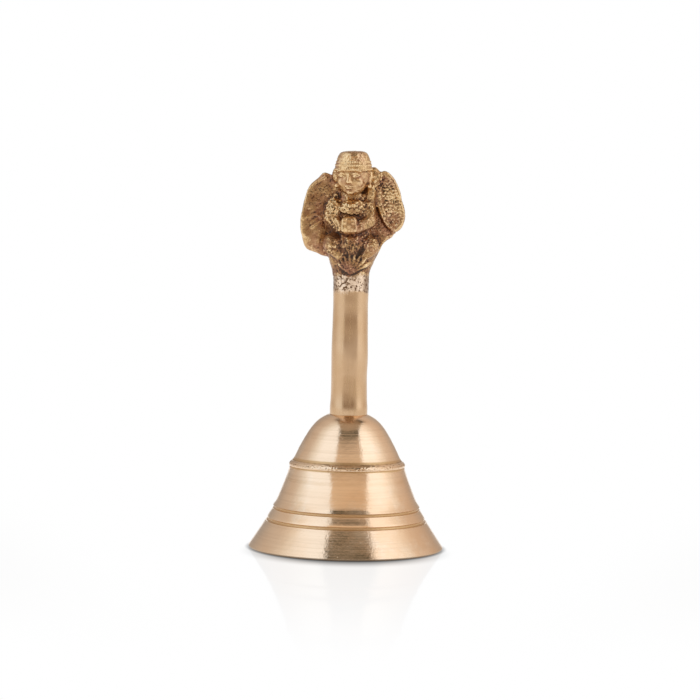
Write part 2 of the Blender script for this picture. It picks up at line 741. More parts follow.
def shell_section():
    mouth = MOUTH_R / MM
    crown = CROWN_Z / MM
    foot = (mouth - 0.7, 0.0)
    edge = (mouth, 0.7)
    lip_top = (28.4, LIP_TOP_Z - GROOVE)
    band_low = (27.8, LIP_TOP_Z + GROOVE)
    band_top = (26.0, BAND_TOP_Z - GROOVE)
    band = [band_low, (27.62, 11.2), (27.2, 11.9), (26.72, 12.65), (26.25, 13.4), band_top]
    wall_low = (25.85, BAND_TOP_Z + GROOVE)
    wall_top = (BEAD_R - 0.3, BEAD_LOW_Z)
    wall = [
        wall_low, (25.47, 15.5), (25.0, 16.2), (24.5, 17.15), (23.67, 19.1), (22.6, 21.8),
        (21.5, 24.6), (20.7, 27.0), wall_top,
    ]
    bead_low = (BEAD_R, BEAD_LOW_Z + 0.4)
    bead_high = (BEAD_R, BEAD_TOP_Z - 1.5)
    bead_shoulder = (BEAD_R - 0.45, BEAD_TOP_Z - 0.8)
    dome = [
        (18.95, BEAD_TOP_Z), (17.45, 34.4), (15.85, 37.5), (14.2, 40.4), (12.6, 42.8),
        (10.8, 44.8), (8.9, 46.2), (7.0, crown),
    ]
    hole_top = (BOLT_HOLE_R, crown)
    hole_low = (BOLT_HOLE_R, CEILING_Z)
    ceiling_edge = (6.8, CEILING_Z)
    shoulder, under_bead, waist, inner_foot = INNER_WALL
    return (
        arc_points(foot, (mouth - 0.205, 0.205), edge, 5)
        + arc_points(edge, (31.3, 5.13), lip_top, 16)
        + groove_points(lip_top, band_low)
        + curve_through(band, 3)[:-1]
        + groove_points(band_top, wall_low)
        + curve_through(wall, 4)[:-1]
        + arc_points(wall_top, (BEAD_R - 0.08, BEAD_LOW_Z + 0.15), bead_low, 4)
        + line_points(bead_low, bead_high, 6)
        + line_points(bead_high, bead_shoulder, 3)
        + line_points(bead_shoulder, dome[0], 6)
        + curve_through(dome, 4)[:-1]
        + line_points(dome[-1], hole_top, 3)
        + line_points(hole_top, hole_low, 3)
        + line_points(hole_low, ceiling_edge, 3)
        + arc_points(ceiling_edge, (9.0, 42.7), shoulder, 5)
        + arc_points(shoulder, (14.2, 36.0), under_bead, 9)
        + arc_points(under_bead, (19.7, 23.2), waist, 9)
        + arc_points(waist, (26.5, 9.0), inner_foot, 10)
        + line_points(inner_foot, foot, 3)
    )


def make_shell(material):
    shell = spin_section(shell_section(), "bell_body", LATHE_STEPS)
    co = coordinates(shell) / MM
    radius = np.hypot(co[:, 0], co[:, 1])
    wall_weight = smooth_step(0.8, 4.0, co[:, 2])
    bead = (
        smooth_step(BEAD_LOW_Z + 0.2, BEAD_LOW_Z + 0.6, co[:, 2])
        * smooth_step(BEAD_TOP_Z - 0.2, BEAD_TOP_Z - 0.7, co[:, 2])
        * (radius > 19.4)
    )
    wavy = weigh(shell, "wavy", wall_weight)
    chipped = weigh(shell, "chipped", bead)
    roughen(shell, 11 * MM, 0.07 * MM, 0, wavy)
    roughen(shell, 3.5 * MM, 0.012 * MM, 0, wavy)
    roughen(shell, 0.6 * MM, 0.22 * MM, 1, chipped, mid=0.62)
    record_wear(shell, 0.03 * MM, 0.25 * MM, 4, 14)
    return finish_piece(shell, "bell", material, "bell_shell")


# --- stem -----------------------------------------------------------------------------------------
STEM_TOP_Z = 98.2
STEM_BORE_R = 2.05
COLLAR_LOW_Z = 90.6  # above this the stem is left as cast


def stem_section():
    crown = CROWN_Z / MM
    side = curve_through(
        [
            (6.6, crown), (6.62, 49.5), (6.42, 53.0), (6.3, 60.0), (6.42, 68.0), (6.28, 77.0),
            (6.12, 84.0), (6.22, 90.5), (6.3, 93.5), (6.35, 96.0), (6.35, STEM_TOP_Z),
        ],
        9,
    )
    bore_top = (STEM_BORE_R, STEM_TOP_Z)
    bore_low = (STEM_BORE_R, crown)
    return (
        side[:-1]
        + line_points(side[-1], bore_top, 5)
        + line_points(bore_top, bore_low, 6)
        + line_points(bore_low, side[0], 4)
    )


def make_stem(material):
    stem = spin_section(stem_section(), "handle_stem", STEM_STEPS, HANDLE_X)
    co = coordinates(stem) / MM
    outside = np.hypot(co[:, 0] - HANDLE_X / MM, co[:, 1]) > 5.5
    hand_worked = smooth_step(48.0, 52.0, co[:, 2]) * outside
    as_cast = smooth_step(COLLAR_LOW_Z - 0.3, COLLAR_LOW_Z + 2.0, co[:, 2]) * outside
    roughen(stem, 9 * MM, 0.16 * MM, 1, weigh(stem, "worked", hand_worked))
    roughen(stem, 1.0 * MM, 0.22 * MM, 2, weigh(stem, "as_cast", as_cast), mid=0.6)
    record_wear(stem, 0.05 * MM, 0.2 * MM, 4, 25)
    return finish_piece(stem, "bell", material, "figure_handle")


# --- cast figure ----------------------------------------------------------------------------------
# Places on the figure are in millimetres: x to the right of someone facing it, y backwards, z up.
# Left and right are that person's, too.
LEFT_WING = [
    (-4.0, 127.0), (-9.0, 132.0), (-11.6, 129.9), (-13.7, 128.0), (-15.3, 125.6), (-16.3, 121.8),
    (-17.3, 116.6), (-17.4, 112.2), (-16.3, 108.4), (-14.3, 105.0), (-11.6, 103.8), (-8.6, 102.8),
    (-3.0, 104.0),
]
RIGHT_WING = [
    (9.4, 131.0), (11.8, 133.0), (14.4, 130.9), (16.5, 127.8), (17.8, 123.6), (18.9, 118.9),
    (18.8, 114.8), (17.2, 112.2), (15.2, 111.4), (13.2, 112.9), (11.3, 115.4), (9.9, 119.0),
    (8.9, 123.5), (8.7, 127.8),
]
RIGHT_BACKING = [
    (2.0, 129.0), (6.8, 132.2), (9.4, 131.2), (12.0, 127.0), (15.0, 117.0), (15.4, 110.8),
    (12.9, 108.5), (11.0, 105.8), (9.5, 103.4), (7.3, 100.2), (2.0, 99.0),
]
FIGURE_X = -0.5 * MM  # the figure's middle line
WING_T = 3.0
WING_FRONT_Y = 0.6
HANDS_X = -0.4
FAN_FOOT = (0.4, 96.9)
PLAIT_BEAD = (1.1, 0.8, 0.75)


def inside(x, z, outline):
    """True if the point is inside the closed outline."""
    found = False
    for (ax, az), (bx, bz) in zip(outline, outline[1:] + outline[:1]):
        if (az > z) != (bz > z) and x < ax + (z - az) / (bz - az) * (bx - ax):
            found = not found
    return found


def plate(points, front_y, thickness, edge_r=0.9):
    """Plate cut to a smooth outline, with rounded edges."""
    outline = loop_through(points)
    obj = loop_from([(x * MM, front_y * MM, z * MM) for x, z in outline], "plate")
    start_editing(obj)
    bpy.ops.mesh.edge_face_add()
    bpy.ops.mesh.extrude_region_move(
        TRANSFORM_OT_translate={"value": (0, thickness * MM, 0)}
    )
    bpy.ops.mesh.select_all(action="SELECT")
    bpy.ops.mesh.normals_make_consistent(inside=False)
    bpy.ops.mesh.bevel(offset=edge_r * MM, segments=3, affect="EDGES", clamp_overlap=True)
    stop_editing()
    return obj


def sink_face(obj, margin, depth):
    """Sinks the front of a plate by depth inside a margin, which leaves a raised rim."""
    start_editing(obj, "DESELECT")
    bpy.ops.mesh.select_mode(type="FACE")
    stop_editing()
    front = min(obj.data.polygons, key=lambda face: face.center.y - face.area * 1e3)
    front.select = True
    bpy.ops.object.mode_set(mode="EDIT")
    bpy.ops.mesh.inset(thickness=margin * MM)
    bpy.ops.mesh.inset(thickness=0.35 * MM)
    bpy.ops.transform.translate(value=(0, depth * MM, 0))
    stop_editing()
    return obj


def cup(obj, spine_x, reach, depth):
    """Curves a wing forward towards its tip."""
    co = coordinates(obj)
    t = np.clip((co[:, 0] / MM - spine_x) / reach, 0, 1.3)
    co[:, 1] += (depth * (t - t * t * 1.5)) * MM
    place_vertices(obj, co)
    return obj


class Surface:
    """Finds places on a finished mass, looking from the front or the back."""

    def __init__(self, obj):
        self.obj = obj

    def seen_from(self, side, x, z, lift):
        """Place on the mass seen from side, -1 in front or 1 behind, raised by lift."""
        start = Vector((x * MM, side * 50 * MM, z * MM))
        hit, place, _, _ = self.obj.ray_cast(start, Vector((0, -side, 0)))
        return (x, place.y / MM + side * lift, z) if hit else None

    def front(self, x, z, lift=0.0):
        return self.seen_from(-1, x, z, lift)

    def back(self, x, z, lift=0.0):
        return self.seen_from(1, x, z, lift)


def bead_template():
    bpy.ops.mesh.primitive_ico_sphere_add(subdivisions=2, radius=MM)
    return bpy.context.object


def beads(template, places, radii, turn=(0, 0, 0)):
    """Copies of a bead at the given places, all of one size or each of its own."""
    sizes = radii if isinstance(radii, list) else [radii] * len(places)
    made = []
    for place, size in zip(places, sizes):
        if place is None:
            continue
        bead = template.copy()
        bead.data = template.data.copy()
        bpy.context.collection.objects.link(bead)
        bead.location = [c * MM for c in place]
        bead.scale = three(size)
        bead.rotation_euler = [math.radians(t) for t in turn]
        made.append(bead)
    return [join(made, "beads")] if made else []


def along(points, step):
    """Evenly spaced places along a run of points of any dimension."""
    points = [np.array(p, float) for p in points]
    lengths = [np.linalg.norm(b - a) for a, b in zip(points, points[1:])]
    total = sum(lengths)
    count = max(2, int(round(total / step)) + 1)
    places = []
    for k in range(count):
        left = total * k / (count - 1)
        for a, b, length in zip(points, points[1:], lengths):
            if left <= length or b is points[-1]:
                places.append(tuple(a + (b - a) * min(1.0, left / length)))
                break
            left -= length
    return places


def ridge(surface, template, points, radius, lift=0.0, step=None, taper=0.0):
    """Raised line over the front of a mass, through (x, z) points."""
    places = along(curve_through(points), step or radius * 0.7)
    sizes = [radius * (1 - taper * k / (len(places) - 1)) for k in range(len(places))]
    return beads(template, [surface.front(x, z, lift) for x, z in places], sizes)


def body_mass():
    """The seated figure, its wings and its base, before any detail."""
    hx = (HANDLE_X - FIGURE_X) / MM
    base = [
        (0.0, 95.4), (6.0, 95.4), (6.35, 96.6), (6.6, 97.6), (6.95, 98.7), (7.6, 100.3),
        (8.2, 102.0), (8.6, 103.8), (8.9, 106.0), (8.2, 109.5), (5.0, 111.0), (0.0, 111.0),
    ]
    pedestal = spin_section(base, "pedestal", 48, HANDLE_X - FIGURE_X)
    co = coordinates(pedestal)
    co[:, 1] *= 1 - 0.22 * smooth_step(97.5 * MM, 105 * MM, co[:, 2])
    place_vertices(pedestal, co)
    parts = [pedestal]
    parts += [
        lump((hx - 0.1, 0.0, 117.0), (7.0, 4.8, 7.2)),
        lump((hx, -0.9, 110.8), (6.9, 5.0, 5.2)),
        lump((hx, 0.6, 124.0), (4.4, 4.0, 4.0)),
        lump((hx, -1.4, 119.2), (5.6, 4.2, 3.8)),
    ]
    for start, end, start_r, end_r in (  # upper arms, forearms, thighs and shins
        ((-5.6, -1.2, 120.8), (-6.3, -3.8, 116.4), 2.6, 2.5),
        ((-6.3, -3.8, 115.8), (-2.8, -7.0, 112.9), 2.3, 1.8),
        ((6.3, -1.0, 120.6), (6.9, -3.6, 115.8), 2.5, 2.2),
        ((6.9, -3.6, 115.4), (2.4, -7.0, 112.6), 2.2, 1.9),
        ((-3.4, -0.8, 108.4), (-6.4, -4.6, 107.2), 3.9, 3.3),
        ((4.4, -0.8, 108.2), (7.2, -4.4, 106.4), 3.9, 3.2),
        ((-6.7, -5.2, 105.4), (-3.6, -6.0, 103.0), 2.1, 1.6),
        ((7.0, -5.0, 104.8), (4.6, -5.8, 102.8), 2.1, 1.6),
    ):
        parts += limb(start, end, start_r, end_r)
    parts += [
        lump((0.2, -4.6, 106.0), (3.4, 3.2, 4.6)),
        lump((hx, 2.6, 115.0), (6.4, 3.2, 9.5)),
        lump((-3.7, 0.2, 101.6), (3.6, 3.6, 3.4)),
        lump((7.7, -0.2, 130.2), (2.7, 2.4, 4.2)),
        lump((7.0, -0.6, 124.6), (2.1, 2.6, 5.0)),
        lump((-5.0, -0.4, 131.4), (1.8, 2.2, 2.8)),
    ]
    left = cup(plate(LEFT_WING, WING_FRONT_Y, WING_T), -6.0, -11.0, 1.6)
    lobe = lump((-12.4, 1.9, 110.8), (4.4, 2.1, 6.6), (0, 12, 0))
    backing = plate(RIGHT_BACKING, WING_FRONT_Y + 0.5, WING_T)
    right = sink_face(plate(RIGHT_WING, WING_FRONT_Y - 1.4, WING_T, 0.7), 1.25, 0.7)
    parts += [left, lobe, backing, right]
    return fuse(parts, "figure_mass", MASS_GRAIN, 6)


def hand_parts():
    """Joined hands, palm to palm, as one rounded block with faint fingers."""
    parts = []
    for side in (-1, 1):
        for z in (112.6, 114.6):
            parts.append(lump((HANDS_X + side * 1.35, -7.4, z), (1.7, 1.9, 2.0)))
    parts.append(lump((HANDS_X, -7.3, 113.6), (2.8, 2.0, 3.1)))
    for k in range(5):
        x = HANDS_X + (k - 2) * 1.1
        parts += limb((x, -8.65, 111.8), (x * 0.95, -8.55, 115.3), 0.55, 0.48)
    return parts


def necklace(surface, bead, half_width, top_z, drop, radius, draw):
    """Uneven row of beads hanging in a bow across the chest."""
    bow = [
        (-0.2 + half_width * t, top_z - drop * (1 - t * t)) for t in np.linspace(-1, 1, 13)
    ]
    places = []
    sizes = []
    for x, z in along(bow, radius * 1.8):
        x += draw.uniform(-0.2, 0.2)
        z += draw.uniform(-0.3, 0.3)
        places.append(surface.front(x, z, -0.1))
        sizes.append(radius * draw.uniform(0.7, 1.25))
    return beads(bead, places, sizes)


def fan(surface, bead):
    """Leaves spreading up from a point at the foot of the figure."""
    made = []
    for k in range(8):
        angle = math.radians(-52 + 112 * k / 7)
        reach = 5.4 + 0.35 * k
        tip = (FAN_FOOT[0] + math.sin(angle) * reach, FAN_FOOT[1] + math.cos(angle) * reach)
        leaf = along([FAN_FOOT, tip], 0.26)
        sizes = [
            0.2 + 0.52 * math.sin(math.pi * (0.94 * j / (len(leaf) - 1)) ** 1.5)
            for j in range(len(leaf))
        ]
        made += beads(bead, [surface.front(x, z, 0.18) for x, z in leaf], sizes)
    return made


def skirt_folds(surface, bead, draw):
    """Strands of cloth falling between the knees."""
    made = []
    for k in range(8):
        x = -3.6 + 7.2 * k / 7
        sway = draw.uniform(-0.5, 0.5)
        top = draw.uniform(106.4, 108.8)
        points = [
            (x, top), (x * 0.85 + sway, 105.6), (x * 0.6 - sway, 103.6), (x * 0.3 + 0.1, 101.2),
        ]
        made += ridge(surface, bead, points, draw.uniform(0.30, 0.46), -0.16)
    return made


def warts(surface, bead, draw):
    """Scattered lumps of metal that ran into flaws in the mould."""
    places = []
    sizes = []
    for centre_x, centre_z, spread_x, spread_z, count in (
        (-4.2, 121.2, 3.4, 2.0, 52), (3.8, 119.4, 2.6, 2.4, 26), (0.2, 108.0, 3.2, 2.2, 22),
        (6.6, 108.4, 3.0, 1.8, 34), (-5.0, 104.8, 2.6, 2.2, 12), (9.0, 128.6, 1.6, 3.2, 26),
    ):
        for _ in range(count):
            x = centre_x + draw.uniform(-1, 1) * spread_x
            z = centre_z + draw.uniform(-1, 1) * spread_z
            places.append(surface.front(x, z, -0.08))
            sizes.append(draw.uniform(0.3, 0.55))
    return beads(bead, places, sizes)


def arm_beads(surface, bead, draw):
    """Coarse beads round the outside of the figure's arms."""
    made = []
    left_arm = [
        (-5.4, 123.8), (-7.6, 121.6), (-8.3, 118.4), (-7.8, 115.4), (-5.7, 112.9), (-2.9, 111.4),
    ]
    right_arm = [(5.2, 122.2), (7.2, 120.4), (7.9, 117.6)]
    for points, radius in ((left_arm, 0.62), (right_arm, 0.5)):
        places = []
        sizes = []
        for x, z in along(curve_through(points), radius * 1.7):
            x += draw.uniform(-0.3, 0.3)
            z += draw.uniform(-0.25, 0.25)
            places.append(surface.front(x, z))
            sizes.append(radius * draw.uniform(0.75, 1.2))
        made += beads(bead, places, sizes)
    return made


def limb_bands(surface, bead):
    """Armlets, bracelets and anklets: short raised bands with beads."""
    made = []
    for points in (
        [(-7.6, 121.4), (-6.0, 120.8), (-4.2, 121.2)],
        [(4.6, 119.4), (6.2, 119.0), (7.8, 119.6)],
        [(-6.2, 115.4), (-5.0, 113.6), (-4.6, 111.6)],
        [(-5.0, 115.8), (-3.9, 114.0), (-3.6, 111.4)],
        [(3.4, 115.2), (3.9, 113.6), (3.6, 111.8)],
        [(-8.8, 104.8), (-7.0, 103.8), (-5.6, 104.6)],
    ):
        made += ridge(surface, bead, points, 0.46, -0.12, 0.8)
    return made


def wing_dots(surface, bead, outline, margin, pitch, radius, draw):
    """Beaded ground of a wing, in staggered rows inside its rim."""
    loop = loop_through(outline)
    xs = [x for x, _ in loop]
    zs = [z for _, z in loop]
    places = []
    sizes = []
    for row in range(int((max(zs) - min(zs)) / pitch)):
        z = min(zs) + (row + 0.5) * pitch
        for column in range(int((max(xs) - min(xs)) / pitch) + 1):
            x = min(xs) + (column + 0.5 * (row % 2)) * pitch
            x += draw.uniform(-0.2, 0.2)
            corners = [(x + dx, z + dz) for dx in (-margin, margin) for dz in (-margin, margin)]
            if all(inside(cx, cz, loop) for cx, cz in corners):
                places.append(surface.front(x, z + draw.uniform(-0.2, 0.2)))
                sizes.append(radius * draw.uniform(0.75, 1.2))
    return beads(bead, places, sizes)


def right_wing_barbs(surface, bead):
    """Short strokes slanting in from the right wing's rim."""
    made = []
    edge = [(12.6, 129.6), (15.2, 127.2), (17.0, 122.6), (17.7, 118.0), (16.6, 114.2)]
    for x, z in along(curve_through(edge), 1.15):
        barb = [(x - 0.2, z), (x - 1.3, z - 0.35), (x - 2.3, z - 1.0)]
        made += ridge(surface, bead, barb, 0.36, 0.05, taper=0.4)
    return made


def left_wing_strokes(surface, bead):
    """Long blurred feathers laid across the left wing, over a smooth lower lobe."""
    made = []
    for k in range(4):
        z = 121.0 - 1.7 * k
        x = -14.6 + 0.35 * k
        points = [(x, z - 3.4), (x + 2.4, z - 1.7), (x + 4.6, z - 0.3), (x + 6.4, z + 1.2)]
        made += ridge(surface, bead, points, 0.8, -0.56, taper=0.2)
    fold = [(-16.6, 115.6), (-14.4, 116.6), (-12.0, 117.2), (-10.2, 116.0)]
    made += ridge(surface, bead, fold, 0.7, -0.35)
    rim = [(-9.0, 130.2), (-11.2, 129.0), (-13.2, 127.3), (-14.6, 124.8)]
    made += ridge(surface, bead, rim, 0.8, -0.3, taper=0.5)
    return made


def back_feathers(surface, bead):
    """Long feathers down both wings and a plait down the middle, at the back."""
    made = []
    for side, tip in ((-1, 15.6), (1, 17.4)):
        for k in range(6):
            top = (side * (4.2 + 1.1 * k), 128.6 - 0.5 * k)
            mid = (side * (5.4 + 1.75 * k), 119.0 - 0.6 * k)
            low = (side * (4.6 + (tip - 6.2) / 5 * k), 105.4 + 1.1 * k)
            places = along(curve_through([top, mid, low]), 0.4)
            sizes = [
                0.78 * (0.55 + 0.45 * math.sin(math.pi * j / (len(places) - 1)))
                for j in range(len(places))
            ]
            made += beads(bead, [surface.back(x, z, -0.25) for x, z in places], sizes)
    for side in (-1, 1):
        plait = [surface.back(side * 0.75, 124.0 - 1.5 * k, -0.1) for k in range(13)]
        made += beads(bead, plait, PLAIT_BEAD, (0, side * 32, 0))
    return made


def make_body(material):
    draw = random.Random(7)
    mass = body_mass()
    surface = Surface(mass)
    bead = bead_template()
    parts = hand_parts()
    parts += necklace(surface, bead, 4.8, 124.2, 4.0, 0.72, draw)
    parts += necklace(surface, bead, 5.6, 122.6, 5.0, 0.5, draw)
    parts += fan(surface, bead)
    parts += skirt_folds(surface, bead, draw)
    parts += limb_bands(surface, bead)
    parts += warts(surface, bead, draw)
    parts += arm_beads(surface, bead, draw)
    parts += wing_dots(surface, bead, RIGHT_WING, 1.9, 1.12, 0.46, draw)
    parts += right_wing_barbs(surface, bead)
    parts += left_wing_strokes(surface, bead)
    parts += back_feathers(surface, bead)
    bpy.data.objects.remove(bead)
    body = fuse([mass] + parts, "figure_body", FIGURE_GRAIN, 6)
    body.location.x = FIGURE_X
    settle(body)
    co = coordinates(body) / MM
    hands = np.exp(-(((co[:, 0] + 0.5) / 3.4) ** 2 + ((co[:, 2] - 113.7) / 3.8) ** 2) * 1.2)
    hands *= co[:, 1] < -5
    left_wing = smooth_step(-9.5, -11.5, co[:, 0])
    rough = 1 - 0.85 * hands - 0.45 * left_wing
    cast = weigh(body, "cast", rough)
    roughen(body, 4.0 * MM, 0.6 * MM, 0, cast)
    roughen(body, 1.5 * MM, 0.14 * MM, 1, cast)
    roughen(body, 0.6 * MM, 0.26 * MM, 2, cast)
    record_wear(body, 0.10 * MM, 0.55 * MM)
    record_spots(
        body,
        "rub",
        0.0,
        [
            ((-1.0, -8.5, 114.0), (3.4, 4.0, 3.8), 0.18),  # hands
            ((-4.5, -5.0, 121.0), (4.5, 5.0, 3.2), 0.24),  # chest and left shoulder
            ((14.0, -1.0, 119.5), (5.5, 6.0, 11.0), 0.22),  # right wing
            ((11.5, 0.0, 108.0), (3.0, 6.0, 4.5), -0.12),  # backing under the right wing
            ((-0.5, -6.0, 105.5), (5.0, 6.0, 4.5), -0.16),  # lap
            ((-6.8, -7.0, 106.0), (3.5, 6.0, 5.0), -0.06),  # left knee
            ((0.0, -7.0, 96.5), (9.0, 9.0, 2.6), -0.26),  # foot of the figure
            ((-14.0, 0.0, 107.5), (5.0, 5.0, 5.0), 0.08),  # lower lobe of the left wing
        ],
    )
    record_spots(
        body,
        "specks",
        0.45,
        [
            ((-3.0, -5.0, 121.0), (7.0, 6.0, 4.0), 0.7),  # chest and left shoulder
            ((13.0, -1.0, 122.0), (5.0, 6.0, 11.0), 0.75),  # right wing
            ((-7.5, -5.0, 115.5), (3.5, 5.0, 4.5), 0.45),  # left arm
            ((0.5, -6.0, 106.0), (8.5, 6.0, 4.5), 0.4),  # lap
            ((-13.5, 0.0, 124.5), (4.0, 6.0, 4.0), 0.35),  # tip of the left wing
            ((-1.0, -9.0, 113.6), (3.6, 3.0, 3.6), -0.5),  # hands
            ((-13.5, 0.0, 108.5), (5.0, 6.0, 6.0), -0.3),  # lower lobe of the left wing
        ],
    )
    return finish_piece(body, "bell", material, "figure_handle")


HEAD_CENTRE = (0.3, -2.0, 131.0)
HEAD_NOD_DEG = 3
HEAD_YAW_DEG = -17
EYE_X = 2.45  # places on the head are from its centre, before it is nodded and turned


def brow_and_eye(side):
    """One eye under its brow: ball, lids and brow."""
    x = EYE_X * side
    parts = [lump((x, -4.75, 0.25), (1.2, 0.95, 0.85))]
    for height, radius in ((0.78, 0.27), (-0.50, 0.20)):
        for t in np.linspace(-1, 1, 17):
            lid = (x + 1.35 * t, -5.55 + 0.45 * t * t, 0.22 + height * (1 - t * t))
            parts.append(lump(lid, radius, segments=8))
    for t in np.linspace(-1, 1, 17):
        rise = 0.30 * (1 - t * t) - 0.16 * t * side
        brow = (x + 1.75 * t, -5.75 + 0.55 * t * t, 1.72 + rise)
        parts.append(lump(brow, (0.34, 0.34, 0.26), segments=8))
    return parts


def head_mass():
    parts = [
        lump((0, 0.6, 0.6), (6.3, 6.3, 6.7), segments=32),
        lump((0, -1.3, -1.6), (5.2, 4.6, 5.4), segments=32),
        lump((0, -1.9, -4.3), (3.7, 3.3, 2.6)),
        lump((0, -4.1, -5.6), (1.5, 1.2, 1.0)),
        lump((0, -2.6, 1.9), (4.6, 3.2, 2.2)),
    ]
    for side in (-1, 1):
        parts.append(lump((side * 2.75, -3.4, -2.0), (2.0, 2.0, 2.1)))
        parts.append(lump((side * 2.3, -4.3, 1.55), (2.3, 1.3, 0.8)))
        parts.append(lump((side * 6.2, 0.2, -0.6), (0.9, 1.5, 2.2), (0, side * 8, 0)))
        parts.append(lump((side * 6.0, -0.3, -3.6), 0.95))
    parts += limb((0, -5.0, 1.0), (0, -6.1, -1.9), 0.55, 0.85)
    parts += [lump((side * 0.75, -5.6, -2.15), (0.62, 0.75, 0.5)) for side in (-1, 1)]
    parts.append(lump((0, 3.6, -3.4), (4.8, 3.2, 4.2)))
    return fuse(parts, "head_mass", HEAD_GRAIN * 1.6, 5)


def hollow(obj, centre, radii):
    """Scoops a hollow out of a mass."""
    cutter = settle(lump(centre, radii, segments=24))
    apply_modifier(obj, "BOOLEAN", operation="DIFFERENCE", object=cutter, solver="EXACT")
    bpy.data.objects.remove(cutter)


def cap_parts(bead):
    """Low round cap with rows of beads, flat on top."""
    section = [
        (0.0, 1.6), (6.35, 1.6), (6.5, 2.0), (6.5, 2.6), (6.4, 3.1), (6.15, 4.2), (5.75, 5.6),
        (5.3, 6.9), (4.75, 7.8), (4.0, 8.25), (2.6, 8.5), (0.0, 8.6),
    ]
    parts = [spin_section(section, "cap", 72)]
    for z, r, size in ((2.2, 6.5, 0.36), (3.7, 6.25, 0.3), (4.8, 5.9, 0.3), (5.9, 5.5, 0.28)):
        count = int(2 * math.pi * r / (size * 2.4))
        angles = [2 * math.pi * k / count for k in range(count)]
        ring = [(r * math.sin(t), -r * math.cos(t), z) for t in angles]
        parts += beads(bead, ring, size)
    return parts


def make_head(material):
    head = head_mass()
    for side in (-1, 1):
        hollow(head, (side * EYE_X, -6.3, 0.25), (1.75, 1.45, 1.15))
    bead = bead_template()
    parts = [head] + brow_and_eye(-1) + brow_and_eye(1) + cap_parts(bead)
    for side in (-1, 1):
        parts.append(lump((side * 0.62, -5.28, -3.50), (1.0, 0.62, 0.36), (0, side * 10, 0)))
    parts.append(lump((0, -5.18, -4.22), (1.15, 0.66, 0.44)))
    for k in range(8):  # locks of hair, down from the cap to the nape
        angle = math.radians(114 + 19 * k)
        foot = (5.0 * math.sin(angle), 3.4 - 3.6 * math.cos(angle), -6.8)
        root = (6.1 * math.sin(angle), 1.0 - 6.0 * math.cos(angle), 1.6)
        middle = [(a + b) / 2 for a, b in zip(foot, root)]
        middle[1] += 0.5
        parts += beads(bead, along(curve_through([root, middle, foot]), 0.45), 0.75)
    bpy.data.objects.remove(bead)
    head = fuse(parts, "figure_head", HEAD_GRAIN, 3)
    head.rotation_euler = (math.radians(HEAD_NOD_DEG), 0, math.radians(HEAD_YAW_DEG))
    head.location = [c * MM for c in HEAD_CENTRE]
    settle(head)
    co = coordinates(head) / MM
    off_face = ((co[:, 0] + 0.6) / 4.6) ** 2 + ((co[:, 2] - 129.0) / 4.6) ** 2
    face = np.exp(-off_face ** 2) * (co[:, 1] < -3)
    cast = weigh(head, "cast", 1 - 0.8 * face)
    roughen(head, 1.0 * MM, 0.30 * MM, 2, cast)
    record_wear(head, 0.08 * MM, 0.40 * MM, 8, 100)
    record_spots(head, "rub", 0.12, [((0.0, -5.0, 136.0), (8.0, 9.0, 4.6), 0.22)])
    record_spots(head, "specks", 0.30, [((0.0, -6.0, 128.5), (6.0, 9.0, 3.6), -0.30)])
    return finish_piece(head, "bell", material, "figure_handle")


# --- hanging hardware -----------------------------------------------------------------------------
ROD_STEPS = 48  # steps round the bolt's and the clapper's rods
THREAD_PITCH = 0.7
THREAD_STEPS = 48
BOLT_EYE_R = 3.4  # to the middle of the wire
WASHER_BORE_R = 2.15
NUT_MOUTH_R = 2.25  # countersink
NUT_THREAD_HIGH_R = 2.2
NUT_THREAD_LOW_R = 2.08
ROD_EYE_WIRE_R = 1.1
ROD_R = 1.22
BALL_BORE_R = 1.32
UPRIGHT_ACROSS_Y = (0, math.pi / 2, 0)


def loop_of_wire(name, centre_z, bend_r, wire_r, turn):
    """Round eye of wire, standing upright."""
    bpy.ops.mesh.primitive_torus_add(
        major_segments=72, minor_segments=24, major_radius=bend_r * MM, minor_radius=wire_r * MM,
        location=(0, 0, centre_z * MM), rotation=turn,
    )
    obj = bpy.context.object
    obj.name = name
    return settle(obj)


def node_span(node):
    """Lowest and highest corners of a design piece, in millimetres."""
    low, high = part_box(node)
    return low / MM, high / MM


def make_eye_bolt(material):
    """Threaded shank with its foot bent into an eye, and the weld that closes the eye."""
    low, high = node_span("eye_bolt")
    wire_r = (high.y - low.y) / 2 - BOLT_EYE_R
    centre_z = low.z + BOLT_EYE_R + wire_r
    neck_z = centre_z + 3.2
    shank_r = high.x
    z = node_span("lock_nut")[0].z
    section = [(0, neck_z), (wire_r - 0.1, neck_z), (shank_r - 0.15, z - 0.2)]
    while z < high.z - 1.0:
        section += [(shank_r - 0.05, z), (shank_r - 0.32, z + THREAD_PITCH / 2)]
        z += THREAD_PITCH
    section += [(shank_r - 0.6, high.z - 0.1), (0, high.z - 0.05)]
    shank = spin_section(section, "bolt_shank", ROD_STEPS)
    eye = loop_of_wire("bolt_eye", centre_z, BOLT_EYE_R, wire_r - 0.03, UPRIGHT_ACROSS_Y)
    seam = settle(lump((0, 0.5, centre_z + 3.5), (1.25, 1.5, 0.9)))
    bolt = fuse([shank, eye, seam], "eye_bolt_wire", 0.09 * MM, 2)
    roughen(bolt, 1.2 * MM, 0.03 * MM, 1)
    return finish_piece(bolt, "bell", material, "eye_bolt")


